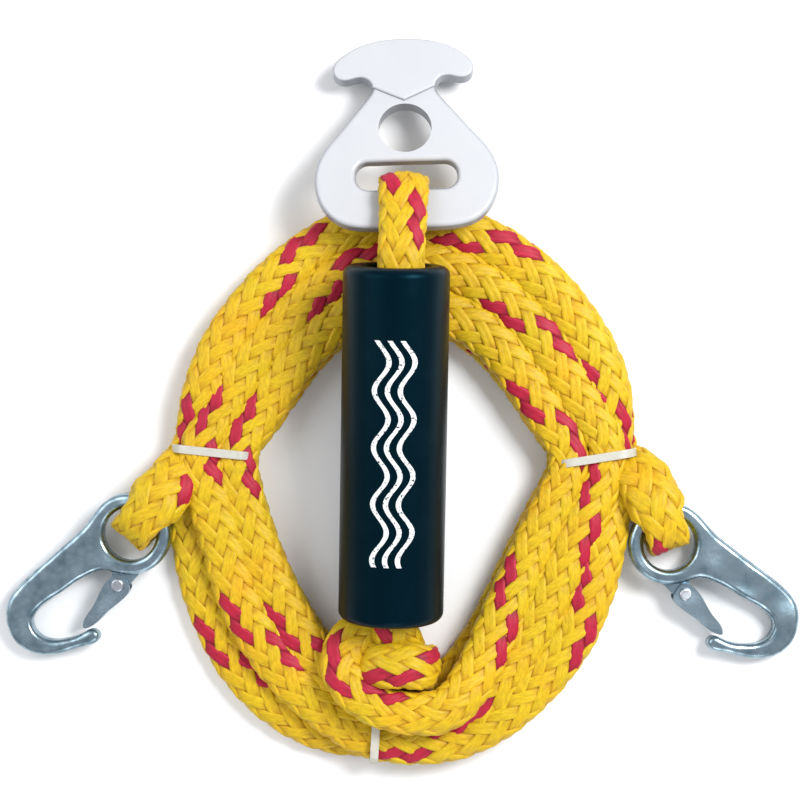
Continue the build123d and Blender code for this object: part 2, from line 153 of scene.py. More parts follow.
def braid_material(finish: BraidFinish) -> bpy.types.Material:
    """Shiny polypropylene yarn: fine fibres along it, and painted shade, darker and warmer, where it
    dives under and at its sides.

    Args:
        finish: The yarn's colours and feel.

    Returns:
        The material.
    """
    material = bpy.data.materials.new(finish.name)
    material.use_nodes = True
    tree = material.node_tree
    tree.nodes.clear()
    output = tree.nodes.new("ShaderNodeOutputMaterial")
    output.label = "Surface"
    output.location = (4 * LABEL_SPACING, 0)
    shader = tree.nodes.new("ShaderNodeBsdfPrincipled")
    shader.label = "Body of the material"
    shader.location = (3 * LABEL_SPACING, 0)

    # Painted shade: the attribute read here mixes in the colour of the valleys where the yarn dives
    # under and at its sides.
    height = tree.nodes.new("ShaderNodeAttribute")
    height.label = "How far the yarn stands out of the braid"
    valley_shade_ramp = tree.nodes.new("ShaderNodeMapRange")
    valley_shade_ramp.label = "Shade between the crowns"
    painted_shade_mix = tree.nodes.new("ShaderNodeMix")
    painted_shade_mix.label = "Valley to crown colour"

    place = tree.nodes.new("ShaderNodeTexCoord")
    place.label = "Place on the rope"
    blotch = tree.nodes.new("ShaderNodeTexNoise")
    blotch.label = "Uneven dye along the rope"
    blotch_mix = tree.nodes.new("ShaderNodeMix")
    blotch_mix.label = "Lighter and deeper stretches"

    along = tree.nodes.new("ShaderNodeUVMap")
    along.label = "Across and along one yarn"
    stretch = tree.nodes.new("ShaderNodeMapping")
    stretch.label = "Fibres drawn out along the yarn"
    fibre = tree.nodes.new("ShaderNodeTexNoise")
    fibre.label = "Fine fibres"
    fibre_tint = tree.nodes.new("ShaderNodeMapRange")
    fibre_tint.label = "How much the fibres tint it"
    fibre_mix = tree.nodes.new("ShaderNodeMix")
    fibre_mix.label = "Fibres over the dye"
    fibre_bump = tree.nodes.new("ShaderNodeBump")
    fibre_bump.label = "Fibre relief"
    fibre_rough = tree.nodes.new("ShaderNodeMapRange")
    fibre_rough.label = "Gloss from fibre to fibre"

    valley_shade_box = tree.nodes.new("NodeFrame")
    valley_shade_box.label = "Depth of the braid"
    dye_box = tree.nodes.new("NodeFrame")
    dye_box.label = "Uneven dye"
    fibre_box = tree.nodes.new("NodeFrame")
    fibre_box.label = "Fibres"
    lay_out([
        (valley_shade_box, [height, valley_shade_ramp, painted_shade_mix]),
        (dye_box, [place, blotch, blotch_mix]),
        (fibre_box, [along, stretch, fibre, fibre_tint, fibre_mix, fibre_rough, fibre_bump]),
    ])

    height.attribute_name = "lit_crown"
    valley_shade_ramp.inputs["From Min"].default_value = 0.05
    valley_shade_ramp.inputs["From Max"].default_value = 0.72
    painted_shade_mix.data_type = "RGBA"
    painted_shade_mix.inputs["A"].default_value = (*finish.valley_shade, 1.0)
    painted_shade_mix.inputs["B"].default_value = (*finish.lit_crown, 1.0)
    blotch.inputs["Scale"].default_value = 42.0
    blotch.inputs["Detail"].default_value = 3.0
    blotch_mix.data_type = "RGBA"
    blotch_mix.blend_type = "MULTIPLY"
    blotch_mix.inputs["Factor"].default_value = 0.28
    along.uv_map = "yarn"
    stretch.inputs["Scale"].default_value = (9.0, 0.9, 1.0)
    fibre.inputs["Scale"].default_value = 1.0
    fibre.inputs["Detail"].default_value = 4.0
    fibre.inputs["Roughness"].default_value = 0.62
    fibre_tint.inputs["From Min"].default_value = 0.3
    fibre_tint.inputs["From Max"].default_value = 0.7
    fibre_tint.inputs["To Min"].default_value = 0.72
    fibre_tint.inputs["To Max"].default_value = 1.12
    fibre_mix.data_type = "RGBA"
    fibre_mix.blend_type = "MULTIPLY"
    fibre_mix.inputs["Factor"].default_value = 1.0
    fibre_bump.inputs["Strength"].default_value = 0.55
    fibre_bump.inputs["Distance"].default_value = finish.fibre_depth
    fibre_rough.inputs["To Min"].default_value = finish.roughness - 0.1
    fibre_rough.inputs["To Max"].default_value = finish.roughness + 0.14
    shader.inputs["Specular IOR Level"].default_value = 0.26
    shader.inputs["Sheen Weight"].default_value = 0.05
    shader.inputs["Sheen Roughness"].default_value = 0.4

    tree.links.new(height.outputs["Fac"], valley_shade_ramp.inputs["Value"])
    tree.links.new(valley_shade_ramp.outputs["Result"], painted_shade_mix.inputs["Factor"])
    tree.links.new(place.outputs["Object"], blotch.inputs["Vector"])
    tree.links.new(painted_shade_mix.outputs["Result"], blotch_mix.inputs["A"])
    tree.links.new(blotch.outputs["Color"], blotch_mix.inputs["B"])
    tree.links.new(along.outputs["UV"], stretch.inputs["Vector"])
    tree.links.new(stretch.outputs["Vector"], fibre.inputs["Vector"])
    tree.links.new(fibre.outputs["Fac"], fibre_tint.inputs["Value"])
    tree.links.new(blotch_mix.outputs["Result"], fibre_mix.inputs["A"])
    tree.links.new(fibre_tint.outputs["Result"], fibre_mix.inputs["B"])
    tree.links.new(fibre_mix.outputs["Result"], shader.inputs["Base Color"])
    tree.links.new(shader.outputs["BSDF"], output.inputs["Surface"])
    tree.links.new(fibre.outputs["Fac"], fibre_rough.inputs["Value"])
    tree.links.new(fibre_rough.outputs["Result"], shader.inputs["Roughness"])
    tree.links.new(fibre.outputs["Fac"], fibre_bump.inputs["Height"])
    tree.links.new(fibre_bump.outputs["Normal"], shader.inputs["Normal"])
    return material


# ---------------------------------------------------------------------------- the braided rope


@dataclass(frozen=True)
class Swell:
    """A place where the rope is squeezed or fattened."""

    place: Vector
    reach: float
    width: float
    thickness: float


@dataclass(frozen=True)
class Braid:
    """How the flat hollow braid is plaited: over two, under two, two ends to each yarn."""

    each_way: int = 8
    pitch: float = 0.106
    rows_per_crossing: float = 2.4
    yarn_rise: float = 0.00112
    weave: float = 0.00046
    puff: float = 0.24
    cover: float = 0.60
    squareness: float = 2.3
    tracers: tuple[int, ...] = (0, 1)
    float_gain: float = 1.35
    width_play: float = 0.10
    puff_share: float = 0.8
    sunk_share: float = 0.62
    across: tuple[float, ...] = (-1.0, -0.82, -0.48, -0.08, 0.08, 0.48, 0.82, 1.0)
    rise: tuple[float, ...] = (0.0, 0.70, 1.0, 0.68, 0.68, 1.0, 0.70, 0.0)
    # How lit each place across a yarn is painted: painted shade at its sides.
    lit_crown: tuple[float, ...] = (0.1, 0.75, 1.0, 0.70, 0.70, 1.0, 0.75, 0.1)
    end_faces: tuple[tuple[int, ...], ...] = ((0, 1, 6, 7), (1, 2, 5, 6), (2, 3, 4, 5))
    knot_rows: int = 4
    fibre_shift: float = 7.3
    # The dark filler tube, painted shadow in the gaps between the yarns.
    shadow_tube_sides: int = 12
    shadow_tube_inset: float = 0.0013
    shadow_tube_stride: int = 3

    @property
    def step(self) -> float:
        """Distance along the rope from one row of vertices to the next."""
        return self.pitch / (2 * self.each_way * self.rows_per_crossing)


@dataclass(frozen=True)
class Patch:
    """A part of the rope's surface, with what its material reads.

    Tints are 0 for yellow, 1 for tracer and 2 for the dark filler tube of painted shadow. Lit shares say
    how lit each point is painted, from 0 in the painted shade of the valleys to 1 on the yarn's tops.
    Coordinates run across and along the yarn. Rows count along the rope.
    """

    points: np.ndarray
    faces: np.ndarray
    tints: np.ndarray
    lit_crowns: np.ndarray
    coordinates: np.ndarray
    rows: np.ndarray


Reshape = Callable[[np.ndarray, np.ndarray], np.ndarray]


@dataclass
class Rope:
    """One stretch of the rope: a route, its sections and its plaited yarns."""

    name: str
    route: list[Vector]
    across: Vector
    width: float = 0.0212
    thickness: float = 0.0098
    turn: float = 0.0
    swells: list[Swell] = field(default_factory=list)
    braid: Braid = Braid()
    level: float = 0.10
    seed: int = 5
    path: np.ndarray = field(init=False, repr=False)

    def line(self) -> np.ndarray:
        """Reads the smooth line that the route's control points give.

        Returns:
            The line's points, an equal step apart.
        """
        curve = bpy.data.curves.new(f"{self.name}_route", "CURVE")
        curve.dimensions = "3D"
        curve.resolution_u = 14
        spline = curve.splines.new("NURBS")
        spline.points.add(len(self.route) - 1)
        for control, place in zip(spline.points, self.route):
            control.co = (*place, 1.0)
        spline.order_u = 3
        spline.use_endpoint_u = True
        points = read_line(curve)
        runs = np.linalg.norm(np.diff(points, axis=0), axis=1)
        travelled = np.concatenate([[0.0], np.cumsum(runs)])
        count = int(travelled[-1] / self.braid.step)
        at = np.linspace(0.0, travelled[-1], count + 1)
        return np.stack([np.interp(at, travelled, points[:, axis]) for axis in range(3)], axis=1)

    def turning_frames(self, line: np.ndarray) -> tuple[np.ndarray, np.ndarray]:
        """Carries the rope's flat along the line with little twist, and lets it lie level.

        Args:
            line: The points of the rope's middle.

        Returns:
            For each point, the way across the flat and the way out of it.
        """
        along = np.gradient(line, axis=0)
        along /= np.linalg.norm(along, axis=1)[:, None]
        across = np.zeros_like(line)
        now = np.array(self.across, float)
        for index, ahead in enumerate(along):
            now = now - np.dot(now, ahead) * ahead
            now /= np.linalg.norm(now)
            flat = np.array((ahead[1], -ahead[0], 0.0))
            flat *= math.copysign(self.level, float(np.dot(flat, now)))
            now = now + flat
            now -= np.dot(now, ahead) * ahead
            now /= np.linalg.norm(now)
            across[index] = now
        return across, np.cross(across, along)

    def half_sizes(self, line: np.ndarray) -> tuple[np.ndarray, np.ndarray]:
        """The rope's half width and half thickness at each point, with its squeezes and swells.

        Args:
            line: The points of the rope's middle.

        Returns:
            Half widths and half thicknesses.
        """
        wide = np.full(len(line), self.width / 2)
        thick = np.full(len(line), self.thickness / 2)
        for swell in self.swells:
            away = np.linalg.norm(line - np.array(swell.place), axis=1)
            near = np.exp(-((away / swell.reach) ** 2))
            wide *= 1.0 + (swell.width - 1.0) * near
            thick *= 1.0 + (swell.thickness - 1.0) * near
        return wide, thick

    def unit_section(self, turns: np.ndarray) -> tuple[np.ndarray, np.ndarray]:
        """Places on the flat oval section, at equal shares of the way round it.

        Args:
            turns: Shares of the way round, where 1 is a whole turn.

        Returns:
            Places for half sizes of 1, and the outward directions for the rope's own proportions.
        """
        angle = np.linspace(0.0, 2 * math.pi, SECTION_SAMPLES)
        power = 2.0 / self.braid.squareness
        x = np.sign(np.cos(angle)) * np.abs(np.cos(angle)) ** power
        z = np.sign(np.sin(angle)) * np.abs(np.sin(angle)) ** power
        ratio = self.thickness / self.width
        runs = np.hypot(np.diff(x), np.diff(z) * ratio)
        share = np.concatenate([[0.0], np.cumsum(runs)])
        share /= share[-1]
        wrapped = np.mod(turns, 1.0)
        place = np.stack([np.interp(wrapped, share, x), np.interp(wrapped, share, z)], axis=-1)
        ahead = np.mod(turns + SECTION_SLOPE_STEP, 1.0)
        back = np.mod(turns - SECTION_SLOPE_STEP, 1.0)
        run_x = np.interp(ahead, share, x) - np.interp(back, share, x)
        run_z = (np.interp(ahead, share, z) - np.interp(back, share, z)) * ratio
        length = np.hypot(run_x, run_z) + 1e-12
        return place, np.stack([run_z / length, -run_x / length], axis=-1)

    def surface(self, line: np.ndarray, turns: np.ndarray, out: np.ndarray) -> np.ndarray:
        """Places points round the rope.

        Args:
            line: The rope's middle, one point a row.
            turns: For each row, shares of the way round.
            out: For each of those, the distance outward from the section.

        Returns:
            The points, with the shape of turns and three coordinates.
        """
        across, normal = self.turning_frames(line)
        wide, thick = self.half_sizes(line)
        place, outward = self.unit_section(turns)
        stretch = (slice(None),) + (None,) * (turns.ndim - 1)
        sideways = place[..., 0] * wide[stretch] + outward[..., 0] * out
        upward = place[..., 1] * thick[stretch] + outward[..., 1] * out
        extra = (slice(None),) + (None,) * (turns.ndim - 1) + (slice(None),)
        return line[extra] + across[extra] * sideways[..., None] + normal[extra] * upward[..., None]

    def unevenness(self, rows: int, chance: np.random.Generator) -> np.ndarray:
        """Slow, random unevenness along each yarn, from -1 to 1.

        Args:
            rows: The number of rows along the rope.
            chance: The rope's random numbers.

        Returns:
            One value for each row and yarn.
        """
        braid = self.braid
        knots = chance.uniform(-1.0, 1.0, (rows // braid.knot_rows + 2, braid.each_way))
        at = np.arange(rows) / braid.knot_rows
        strands = [np.interp(at, np.arange(len(knots)), one) for one in knots.T]
        return np.stack(strands, axis=1)[:, :, None]

    def yarns(self, line: np.ndarray, way: int, chance: np.random.Generator) -> Patch:
        """Plaits the yarns that wind round one way.

        Args:
            line: The rope's middle, one point a row.
            way: 1 or -1, the way they wind.
            chance: The rope's random numbers.

        Returns:
            The yarns, with their ends closed.
        """
        braid = self.braid
        rows = len(line)
        row = np.arange(rows)[:, None, None]
        yarn = np.arange(braid.each_way)[None, :, None]
        crossing = row / braid.rows_per_crossing
        phase = math.pi / 2.0 * (2.0 * yarn + way * crossing) - math.pi / 4.0
        over = way * np.clip(np.cos(phase) * braid.float_gain, -1.0, 1.0)
        uneven = self.unevenness(rows, chance)
        width = braid.cover / braid.each_way * (1.0 + braid.width_play * uneven)
        travel = crossing / (2.0 * braid.each_way)
        turns = self.turn + yarn / braid.each_way + way * travel + np.array(braid.across) * width
        rise = np.array(braid.rise) * braid.yarn_rise
        puffed = rise * (1.0 + braid.puff * (over + uneven) * braid.puff_share)
        out = over * braid.weave + puffed - braid.yarn_rise * braid.sunk_share
        points = self.surface(line, turns, np.broadcast_to(out, turns.shape))
        # Painted shade: how lit each point is painted, dark where the yarn dives under and at its sides.
        stands = (0.5 + 0.5 * over) * np.array(braid.lit_crown)
        across_yarn = np.broadcast_to(np.linspace(0.0, 1.0, len(braid.across)), turns.shape)
        along_yarn = np.broadcast_to(row * 1.0 + yarn * braid.fibre_shift, turns.shape)
        index = np.arange(turns.size).reshape(turns.shape)
        beside = np.roll(index, -1, axis=2)
        quads = np.stack([index[:-1], beside[:-1], beside[1:], index[1:]], axis=-1)
        red = np.isin(np.arange(braid.each_way), braid.tracers) & (way > 0)
        faces = [quads.reshape(-1, 4)]
        tints = [np.broadcast_to(red[None, :, None].astype(int), quads.shape[:3]).reshape(-1)]
        for end in (index[0][:, ::-1], index[-1]):
            for order in braid.end_faces:
                faces.append(end[:, order])
                tints.append(red.astype(int))
        return Patch(
            points.reshape(-1, 3), np.concatenate(faces), np.concatenate(tints),
            np.broadcast_to(stands, turns.shape).reshape(-1),
            np.stack([across_yarn, along_yarn], axis=-1).reshape(-1, 2),
            np.repeat(np.arange(rows), braid.each_way * len(braid.across)),
        )

    def shadow_tube(self, line: np.ndarray) -> Patch:
        """A dark filler tube, painted shadow that fills the gaps between the yarns.

        Args:
            line: The rope's middle, one point a row.

        Returns:
            The filler tube.
        """
        braid = self.braid
        rows = len(line)
        stations = np.unique(np.append(np.arange(0, rows, braid.shadow_tube_stride), rows - 1))
        turns = np.broadcast_to(np.arange(braid.shadow_tube_sides) / braid.shadow_tube_sides, (rows, braid.shadow_tube_sides))
        points = self.surface(line, turns, np.full(turns.shape, -braid.shadow_tube_inset))[stations]
        index = np.arange(len(stations) * braid.shadow_tube_sides).reshape(len(stations), braid.shadow_tube_sides)
        beside = np.roll(index, -1, axis=1)
        quads = np.stack([index[:-1], beside[:-1], beside[1:], index[1:]], axis=-1).reshape(-1, 4)
        return Patch(
            points.reshape(-1, 3), quads, np.full(len(quads), 2),
            np.zeros(index.size), np.zeros((index.size, 2)), np.repeat(stations, braid.shadow_tube_sides),
        )

    def build(self, reshape: Reshape | None = None) -> bpy.types.Object:
        """Plaits the yarns over a dark filler tube of painted shadow and makes one mesh of them.

        Args:
            reshape: A function that bends the points, given how far along the rope each one is.

        Returns:
            The rope's object, in the scene.
        """
        self.path = self.line()
        chance = np.random.default_rng(self.seed)
        patches = [self.yarns(self.path, way, chance) for way in (1, -1)]
        patches.append(self.shadow_tube(self.path))
        mesh = self.mesh(patches, reshape)
        log.info("%s: %.3f m, %d faces", self.name, self.length(), len(mesh.polygons))
        piece = bpy.data.objects.new(self.name, mesh)
        bpy.context.scene.collection.objects.link(piece)
        return piece

    def length(self) -> float:
        """The length of the rope's middle line."""
        return float(np.linalg.norm(np.diff(self.path, axis=0), axis=1).sum())

    def mesh(self, patches: list[Patch], reshape: Reshape | None) -> bpy.types.Mesh:
        """Joins the patches into one mesh, with its yarn colours, painted shade shares and coordinates.

        Args:
            patches: The parts of the rope's surface.
            reshape: A function that bends the points, or None.

        Returns:
            The mesh.
        """
        starts = np.cumsum([0] + [len(patch.points) for patch in patches])
        faces = np.concatenate([patch.faces + start for patch, start in zip(patches, starts)])
        points = np.concatenate([patch.points for patch in patches])
        tints = np.concatenate([patch.tints for patch in patches])
        lit_crowns = np.concatenate([patch.lit_crowns for patch in patches])
        coordinates = np.concatenate([patch.coordinates for patch in patches])
        if reshape is not None:
            rows = np.concatenate([patch.rows for patch in patches])
            points = reshape(points, rows / len(self.path))
        mesh = bpy.data.meshes.new(self.name)
        mesh.vertices.add(len(points))
        mesh.vertices.foreach_set("co", points.astype(np.float32).ravel())
        mesh.loops.add(faces.size)
        mesh.loops.foreach_set("vertex_index", faces.astype(np.int32).ravel())
        mesh.polygons.add(len(faces))
        mesh.polygons.foreach_set("loop_start", np.arange(0, faces.size, 4, dtype=np.int32))
        mesh.polygons.foreach_set("material_index", tints.astype(np.int32))
        mesh.polygons.foreach_set("use_smooth", np.ones(len(faces), dtype=bool))
        mesh.update(calc_edges=True)
        # How lit each point is painted, which the material turns into painted shade.
        height = mesh.attributes.new("lit_crown", "FLOAT", "POINT")
        height.data.foreach_set("value", lit_crowns.astype(np.float32))
        layer = mesh.uv_layers.new(name="yarn")
        layer.data.foreach_set("uv", coordinates[faces.ravel()].astype(np.float32).ravel())
        for finish in (YELLOW_YARN, CRIMSON_YARN, PAINTED_SHADOW_TUBE):
            mesh.materials.append(MATERIALS[finish.name])
        return mesh


MATERIALS: dict[str, bpy.types.Material] = {}


# ---------------------------------------------------------------------------- the snap hooks' frames


@dataclass(frozen=True)
class HookPlace:
    """Where a snap hook lies: its ring's middle and the way it points."""

    side: str
    ring: Vector
    heading: float
    throat: float
    tilt: float = 5.0
    fan_radius: float = 0.0200
    least_radius: float = 0.0185
    fan_reach: float = 0.031
    fan_span: float = 0.010
    eye_share: float = 0.93

    @property
    def ahead(self) -> Vector:
        """The way the hook points, tipped down toward its bowl."""
        drop = math.radians(self.tilt)
        return plan_direction(self.heading) * math.cos(drop) - Vector((0, 0, math.sin(drop)))

    @property
    def above(self) -> Vector:
        """Square to the hook's flat, upward."""
        rise = math.radians(self.tilt)
        return plan_direction(self.heading) * math.sin(rise) + Vector((0, 0, math.cos(rise)))

    @property
    def outward(self) -> Vector:
        """In the hook's flat, from the ring's middle to the rope's throat."""
        away = plan_direction(self.throat)
        return (away - self.above * away.dot(self.above)).normalized()

    def at(self, out: float, height: float) -> Vector:
        """A point over the line from the ring's middle to the throat, in millimetres."""
        return self.ring + self.outward * (out * MM) + self.above * (height * MM)

    def fan_round_ring(self, points: np.ndarray, share: np.ndarray) -> np.ndarray:
        """Bends the rope's eye round the ring, so that it fans out over the wire.

        Args:
            points: The rope's points.
            share: For each point, how far along the rope it is.

        Returns:
            The bent points.
        """
        side = self.above.cross(self.outward)
        axes = np.array((self.outward, side, self.above))
        local = (points - np.array(self.ring)) @ axes.T
        reach = local[:, 0]
        strength = smoothstep((self.fan_reach - reach) / self.fan_span) * (share > self.eye_share)
        angle = local[:, 1] / self.fan_radius
        radius = np.maximum(reach, self.least_radius)
        bent = np.stack(
            [reach - radius * (1.0 - np.cos(angle)), radius * np.sin(angle), local[:, 2]], axis=1
        )
        local = local + (bent - local) * strength[:, None]
        return local @ axes + np.array(self.ring)


LEFT_HOOK = HookPlace("left", mm(-134.9, -65.4, 11.6), 221.0, 50.0)
RIGHT_HOOK = HookPlace("right", mm(134.6, -70.4, 11.6), -37.0, 112.0)


# ---------------------------------------------------------------------------- the hank


# The station where a turn changes its lane, at the bottom tie.
CROSSING = 0


class Lane(Enum):
    """A place in the hank's bundle: share of the way across it and height, tied and loose."""

    INNER_LOW = (0.26, 3.7, 0.17, 5.9)
    MIDDLE_LOW = (0.26, 10.1, 0.50, 5.9)
    OUTER_LOW = (0.74, 3.7, 0.83, 5.9)
    INNER_TOP = (0.26, 16.5, 0.18, 14.3)
    MIDDLE_TOP = (0.74, 16.5, 0.50, 14.8)
    OUTER_TOP = (0.74, 10.1, 0.82, 14.3)


@dataclass
class Hank:
    """The two legs of the rope, wound opposite ways into one hank and tied in three places."""

    # Outer and inner edge at each station, counterclockwise from the bottom tie, in millimetres.
    stations: tuple[tuple[tuple[float, float], tuple[float, float]], ...] = (
        ((-12, -182.0), (-12, -143.5)),
        ((36, -175.5), (17, -139.5)),
        ((70, -155), (34, -118)),
        ((97, -122), (48, -89)),
        ((110.5, -80), (62, -57)),
        ((119, -25), (77.4, -29)),
        ((114, 14), (66, -11)),
        ((98.5, 48), (50, 13)),
        ((73, 78), (34, 28)),
        ((38, 97.5), (16, 38)),
        ((0, 101.5), (-2, 41.5)),
        ((-36, 96), (-22, 34.5)),
        ((-68, 72.5), (-39, 20.5)),
        ((-93, 41), (-52, 5)),
        ((-107.5, 9), (-64, -11)),
        ((-114.2, -25), (-72.6, -25)),
        ((-114.6, -64), (-68.5, -57)),
        ((-105.5, -110), (-54, -92)),
        ((-83.5, -146.5), (-38, -120)),
        ((-48, -170.5), (-23, -138.5)),
    )
    tied: tuple[int, ...] = (0, 5, 15)
    tie_height: float = 10.5
    tie_reach: float = 0.024
    tie_squeeze: tuple[float, float] = (0.80, 0.58)
    sideways_play: float = 0.022
    height_play: float = 0.35
    eye: tuple[tuple[float, float], ...] = (
        (36, 2.0), (29, 6.0), (22, 9.8), (10, 10.4), (2.0, 5.2),
        (2.0, -5.0), (10, -8.4), (21, -7.6), (29, -5.0), (38, -1.5),
    )
    left_turn: float = 0.10
    right_turn: float = 0.35
    declared_length: float = 1.95
    seed: int = 11

    def place(self, station: int, lane: Lane, dice: random.Random) -> Vector:
        """A control point of one turn where it passes a station.

        Args:
            station: The station's number.
            lane: The turn's lane in the bundle.
            dice: Small unevenness, the same each run.

        Returns:
            The point.
        """
        if station in self.tied:
            share, height = lane.value[:2]
        else:
            share, height = lane.value[2:]
            share += dice.uniform(-self.sideways_play, self.sideways_play)
            height += dice.uniform(-self.height_play, self.height_play)
        return self.between(station, share, height)

    def between(self, station: int, share: float, height: float) -> Vector:
        """A point a share of the way from the bundle's inner edge to its outer one."""
        outer, inner = self.stations[station]
        x = inner[0] + share * (outer[0] - inner[0])
        y = inner[1] + share * (outer[1] - inner[1])
        return mm(x, y, height)

    def left_leg(self) -> list[Vector]:
        """Out of the float, over the hank, two and three-quarter turns, and to the left hook."""
        dice = random.Random(self.seed)
        route = [
            mm(-4.6, -93, 21.4), mm(-5, -107, 20.0), mm(-14, -112, 20.5), mm(-25, -117, 22.5),
            mm(-30, -129, 25), mm(-24, -141, 27.4), mm(-11, -150.5, 28.2), mm(7, -154, 27.8),
            mm(24, -153, 25.5), mm(38, -136, 20.5),
        ]
        for station in range(3, 20):
            route.append(self.place(station, Lane.INNER_TOP, dice))
        route.append(self.between(CROSSING, 0.27, 16.2))
        for station in range(1, 20):
            route.append(self.place(station, Lane.MIDDLE_TOP, dice))
        route.append(self.between(CROSSING, 0.74, 14.0))
        for station in range(1, 16):
            route.append(self.place(station, Lane.OUTER_TOP, dice))
        route.append(mm(-107.5, -30, 12.5))
        return route + self.eye_round(LEFT_HOOK)

    def right_leg(self) -> list[Vector]:
        """Out of the float, round the knot, two and three-quarter turns, and to the right hook."""
        dice = random.Random(self.seed + 1)
        route = [
            mm(-4.6, -93, 30.8), mm(-4, -107, 29), mm(-2, -115, 27), mm(3, -122, 19), mm(-3, -127, 12),
            mm(-14, -129, 14), mm(-17, -129.5, 24), mm(-8, -129.5, 30.8), mm(6, -129.5, 31),
            mm(12, -130.5, 28), mm(16, -132, 18), mm(9, -134, 8.5), mm(-6, -136, 6.2),
            mm(-26, -134, 6.3), mm(-43, -126.5, 6.2),
        ]
        for station in range(17, 0, -1):
            route.append(self.place(station, Lane.INNER_LOW, dice))
        route.append(self.between(CROSSING, 0.27, 8.0))
        for station in range(19, 0, -1):
            route.append(self.place(station, Lane.MIDDLE_LOW, dice))
        route.append(self.between(CROSSING, 0.70, 5.0))
        for station in range(19, 4, -1):
            route.append(self.place(station, Lane.OUTER_LOW, dice))
        route.append(mm(113.0, -30, 9.5))
        return route + self.eye_round(RIGHT_HOOK)

    def eye_round(self, hook: HookPlace) -> list[Vector]:
        """The spliced eye: over the ring's wire, through the ring and back under into the throat."""
        return [hook.at(out, height) for out, height in self.eye]

    def ties(self) -> list[Swell]:
        """How the three cable ties squeeze the bundle."""
        squeezed = []
        for station in self.tied:
            outer, inner = self.stations[station]
            middle = mm((outer[0] + inner[0]) / 2, (outer[1] + inner[1]) / 2, self.tie_height)
            squeezed.append(Swell(middle, self.tie_reach, *self.tie_squeeze))
        return squeezed

    def throat(self, hook: HookPlace) -> list[Swell]:
        """How the buried tail fattens the throat, and the ring's wire flattens the eye."""
        return [
            Swell(hook.at(38, 1.0), 0.022, 1.28, 1.55),
            Swell(hook.at(12, 0.0), 0.015, 1.06, 0.74),
        ]

    def build(self) -> None:
        for name, route, hook, turn, nodes in (
            ("left_leg", self.left_leg(), LEFT_HOOK, self.left_turn,
             ("rope_leg_over", "left_eye_splice", "rope_coil")),
            ("right_leg", self.right_leg(), RIGHT_HOOK, self.right_turn,
             ("rope_leg_under", "right_eye_splice", "stopper_knot")),
        ):
            leg = Rope(
                name, route, Vector((1.0, 0.0, 0.0)), turn=turn, swells=self.ties() + self.throat(hook)
            )
            piece = leg.build(hook.fan_round_ring)
            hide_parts(*nodes)
            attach(piece, "hank")


@dataclass
class Bight:
    """The middle of the rope: up through the float, round the hitch's bar and back."""

    route: tuple[tuple[float, float, float], ...] = (
        (-4.6, -92, 31), (0.5, 67.3, 53.1), (1.5, 89, 46.8), (2.0, 111.4, 38.9),
        (1.8, 105.7, 21.1), (0.8, 80.3, 29.9), (0.3, 66.6, 43.5), (-4.8, -92, 21.5),
    )
    heading: float = -1.3
    turn: float = 0.34
    at_bar: Swell = Swell(mm(2, 107, 31), 0.020, 1.12, 0.82)
    declared_length: float = 0.43
    bend_start: tuple[float, float, float] = (0.0018, 0.077, 0.042)
    bend_end: tuple[float, float, float] = (0.0022, 0.092, 0.042)

    def build(self) -> None:
        """Makes the doubled rope on its route between the hank and the hitch."""
        route = [mm(*point) for point in self.route]
        rope = Rope(
            "bight", route, plan_direction(self.heading), turn=self.turn, level=0.0,
            swells=[self.at_bar],
        )
        piece = rope.build()
        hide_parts("rope_bight")
        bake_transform(piece)


# ---------------------------------------------------------------------------- the float


@dataclass(frozen=True)
class FloatFinish:
    """Closed-cell foam with a smooth skin and a printed band of waves."""

    skin: tuple[float, float, float] = (0.0006, 0.0058, 0.0100)
    scuff: tuple[float, float, float] = (0.0016, 0.0085, 0.0135)
    ink: tuple[float, float, float] = (0.72, 0.74, 0.75)
    foot: Vector = mm(-4.6, -106.6, 25.95)
    tilt: float = 7.9
    lean: float = 1.0
    wave_length: float = 0.0275
    wave_height: float = 0.0034
    stripe_apart: float = 0.0031
    stripe_width: float = 0.00125
    print_side: float = 0.0082
    print_middle: float = 0.086
    print_reach: float = 0.055


